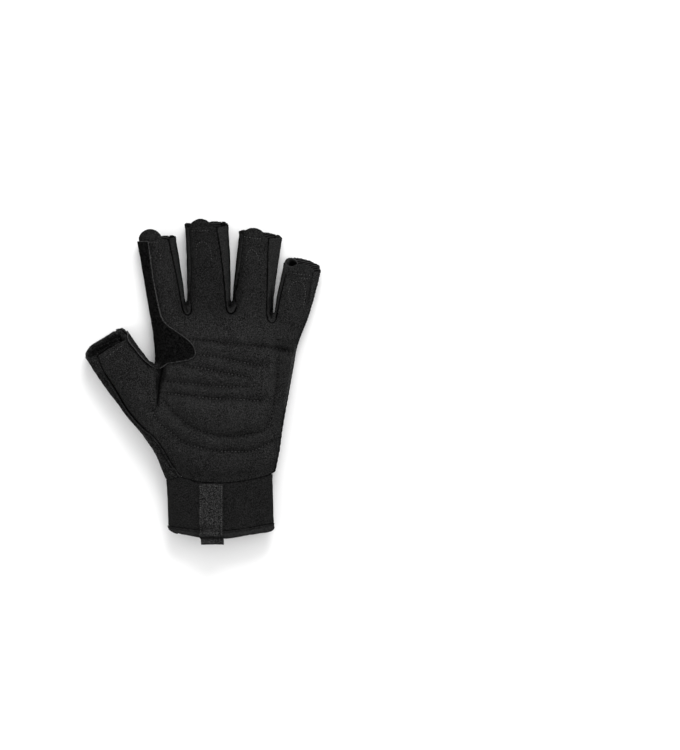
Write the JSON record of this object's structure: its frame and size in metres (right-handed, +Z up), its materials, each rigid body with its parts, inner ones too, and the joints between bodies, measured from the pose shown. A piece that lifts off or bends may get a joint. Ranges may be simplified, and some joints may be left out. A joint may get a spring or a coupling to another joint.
{
  "type": "via ferrata glove",
  "caption": "Fingerless climbing glove for the left hand with a suede palm, padded sewn channels, a knit back, finger pull tabs, a strapped cuff and a webbing loop.",
  "frame": {"origin": "centre of the glove's box in plan, on the surface that it lies on", "axes": "+Z up, out of the palm; +Y from the wrist to the fingers; +X to the little finger"},
  "size_m": [0.1512, 0.2088, 0.0234],
  "materials": {
    "palm_suede": "matt black-grey synthetic suede with a short nap",
    "patch_leather": "rough black split leather with a speckled nap",
    "rib_knit": "black stretch knit with fine ribs across the hand",
    "stretch_cloth": "smooth black-grey stretch cloth",
    "cuff_neoprene": "smooth matt black faced neoprene",
    "binding_tape": "black-grey stretch binding, top stitched",
    "strap_cloth": "black hook-and-loop strap cloth",
    "overlay_rubber": "smooth dark grey moulded rubber, bare",
    "loop_webbing": "black-grey woven webbing"
  },
  "bodies": {
    "root": {"palm_panel": "palm_suede", "index_patch": "patch_leather", "thumb_back": "patch_leather", "back_panel": "rib_knit", "fourchette_index_middle": "stretch_cloth", "fourchette_middle_ring": "stretch_cloth", "fourchette_ring_little": "stretch_cloth", "finger_tab_index": "palm_suede", "finger_tab_middle": "palm_suede", "finger_tab_ring": "palm_suede", "finger_tab_little": "palm_suede", "cuff": "cuff_neoprene", "cuff_binding": "binding_tape", "slit_binding": "binding_tape", "closure_strap": "strap_cloth", "strap_overlay": "overlay_rubber", "wrist_loop": "loop_webbing"}
  },
  "joints": []
}
